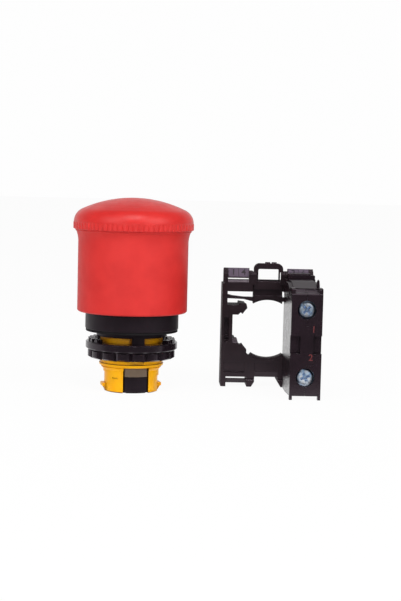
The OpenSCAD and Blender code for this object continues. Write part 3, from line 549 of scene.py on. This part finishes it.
def plate_mesh(name, lo, hi, thick, corner):
    """A thin plate with rounded corners, in its own plane: lo and hi are two corners, thick is
    half its thickness."""
    bm = bmesh.new()
    points = []
    for cx, cy, start in ((hi[0] - corner, hi[1] - corner, 0),
                          (lo[0] + corner, hi[1] - corner, 90),
                          (lo[0] + corner, lo[1] + corner, 180),
                          (hi[0] - corner, lo[1] + corner, 270)):
        for k in range(5):
            a = math.radians(start + 22.5 * k)
            points.append((cx + corner * math.cos(a), cy + corner * math.sin(a)))
    low = [bm.verts.new((x, y, -thick)) for x, y in points]
    top = [bm.verts.new((x, y, thick)) for x, y in points]
    bm.faces.new(top)
    bm.faces.new(low[::-1])
    count = len(points)
    for i in range(count):
        k = (i + 1) % count
        bm.faces.new((low[i], low[k], top[k], top[i]))
    mesh = bpy.data.meshes.new(name)
    bm.to_mesh(mesh)
    bm.free()
    return mesh


def label_tabs(mats):
    """The label strips on the two leaning tabs, each with two plain numbers and a divider."""
    tilt = math.atan2(TAB_RISE, TAB_RUN)
    up = Vector((0, math.cos(tilt), math.sin(tilt)))
    out = Vector((0, -math.sin(tilt), math.cos(tilt)))
    foot = CARRIER + Vector((0, 0, TAB_FOOT_Z))
    turn = Matrix.Rotation(tilt, 4, "X")
    for side, name, figures in ((-1, "left", "14"), (1, "right", "36")):
        base = foot + Vector((side * TAB_MIDDLE, 0, 0))
        mesh = plate_mesh("label_" + name, (-3.3, 0.35), (3.3, 3.72), 0.06, 0.25)
        mesh.transform(Matrix.Translation((base + out * LABEL_LIFT)) @ turn)
        mesh.transform(Matrix.Scale(MM, 4))
        piece("label_" + name, mesh, mats["label"], "carrier", smooth=False)
        mesh = plate_mesh("divider_" + name, (-0.09, 0.5), (0.09, 3.6), 0.012, 0.05)
        mesh.transform(Matrix.Translation((base + out * PRINT_LIFT)) @ turn)
        mesh.transform(Matrix.Scale(MM, 4))
        piece("divider_" + name, mesh, mats["ink_dark"], "carrier", smooth=False)
        for k, figure in zip((-1, 1), figures):
            place = base + Vector((k * 1.65, 0, 0)) + up * 2.02 + out * PRINT_LIFT
            digits(f"number_{name}_{figure}", figure, 2.3, place, tilt, mats["ink_dark"],
                   "carrier")


def terminal_numbers(mats):
    """The plain numbers at the two terminals."""
    for name, figure, x, z in (("terminal_1", "1", 2.2, 4.5), ("terminal_2", "2", 1.5, -4.3)):
        place = (BLOCK.x + x, TERMINAL_FACE_Y - FIGURE_DEPTH, BLOCK.z + z)
        digits(name, figure, 2.0, place, math.pi / 2, mats["ink_red"], "carrier")


def math_node(tree, operation, a, b):
    """A Math node whose two inputs are sockets or numbers; returns its output."""
    node = tree.nodes.new("ShaderNodeMath")
    node.operation = operation
    for k, value in enumerate((a, b)):
        if isinstance(value, (int, float)):
            node.inputs[k].default_value = value
        else:
            tree.links.new(value, node.inputs[k])
    return node.outputs[0]


def studio(tree, source, lowest, highest, light, white, level, share, out):
    """Light for the object, and white of strength level where the camera looks, with share of it
    over the light. A reflection sees the same white, but dimmed towards the front of the studio,
    where source falls from highest to lowest."""
    path = tree.nodes.new("ShaderNodeLightPath")
    fade = tree.nodes.new("ShaderNodeMapRange")
    for name, value in (("From Min", lowest), ("From Max", highest), ("To Min", DIMMEST),
                        ("To Max", BRIGHTEST)):
        fade.inputs[name].default_value = value
    tree.links.new(source, fade.inputs["Value"])
    straight = math_node(tree, "MAXIMUM", path.outputs["Is Camera Ray"],
                         path.outputs["Is Transmission Ray"])
    seen = math_node(tree, "MAXIMUM", straight, path.outputs["Is Glossy Ray"])
    in_view = math_node(tree, "MULTIPLY", straight, level)
    tree.links.new(math_node(tree, "MAXIMUM", fade.outputs[0], in_view), white.inputs["Strength"])
    mix = tree.nodes.new("ShaderNodeMixShader")
    tree.links.new(math_node(tree, "MULTIPLY", seen, share), mix.inputs[0])
    tree.links.new(light.outputs[0], mix.inputs[1])
    tree.links.new(white.outputs[0], mix.inputs[2])
    tree.links.new(mix.outputs[0], out.inputs[0])


def stage():
    """A plain pale floor, white but for the object's shadow."""
    mesh = bpy.data.meshes.new("floor")
    s = FLOOR_HALF * MM
    mesh.from_pydata([(-s, -s, 0), (s, -s, 0), (s, s, 0), (-s, s, 0)], [], [(0, 1, 2, 3)])
    floor = bpy.data.objects.new("floor", mesh)
    floor.location.z = FLOOR_Z * MM
    bpy.context.collection.objects.link(floor)
    m = Mat("floor_white")
    m.set(Base_Color=(0.9, 0.9, 0.9, 1), Roughness=0.9, Specular_IOR_Level=0.1)
    place = m.add("ShaderNodeNewGeometry")
    split = m.add("ShaderNodeSeparateXYZ")
    m.link(place, "Position", split, 0)
    studio(m.tree, split.outputs["Y"], lowest=-0.06, highest=-0.03, light=m.shader,
           white=m.add("ShaderNodeEmission"), level=1.0, share=0.95, out=m.out)
    mesh.materials.append(m.mat)


def world():
    """Even light from all sides, and white behind the object."""
    w = bpy.data.worlds.new("world")
    bpy.context.scene.world = w
    w.use_nodes = True
    tree = w.node_tree
    tree.nodes.clear()
    light, white = (tree.nodes.new("ShaderNodeBackground") for _ in range(2))
    for background in (light, white):
        background.inputs["Color"].default_value = (1.0, 1.0, 1.0, 1.0)
    light.inputs["Strength"].default_value = 0.44
    coord = tree.nodes.new("ShaderNodeTexCoord")
    along = tree.nodes.new("ShaderNodeVectorMath")
    along.operation = "DOT_PRODUCT"
    along.inputs[1].default_value = (-0.10, 0.93, -0.35)
    tree.links.new(coord.outputs["Generated"], along.inputs[0])
    studio(tree, along.outputs["Value"], lowest=0.15, highest=0.75, light=light, white=white,
           level=0.99, share=1.0, out=tree.nodes.new("ShaderNodeOutputWorld"))


def area(name, place, target, size, power, shows=True):
    """A soft rectangular lamp, in metres and watts. Shows says whether reflections see it."""
    data = bpy.data.lights.new(name, "AREA")
    data.shape = "RECTANGLE"
    data.size, data.size_y = size
    data.energy = power
    ob = bpy.data.objects.new(name, data)
    ob.location = place
    ob.rotation_euler = (Vector(target) - Vector(place)).to_track_quat("-Z", "Y").to_euler()
    ob.visible_camera = False
    ob.visible_glossy = shows
    bpy.context.collection.objects.link(ob)


def lights():
    mid = (0.022, 0.0, 0.010)
    area("front_left", (-0.50, -0.62, 0.46), mid, size=(0.6, 0.6), power=2.2)
    area("front_right", (0.60, -0.56, 0.44), mid, size=(0.6, 0.6), power=2.9)
    area("top", (0.03, -0.42, 0.60), mid, size=(0.20, 0.14), power=1.6)
    area("bench", (-0.03, -0.30, 0.0), (0.022, 0.0, -0.01), size=(0.5, 0.04), power=0.15,
         shows=False)


camera()
MATS = materials()
finish_nodes(MATS)
springs(MATS)
flex_arms(MATS)
label_tabs(MATS)
terminal_numbers(MATS)
stage()
world()
lights()
bpy.context.scene.view_settings.view_transform = "Standard"
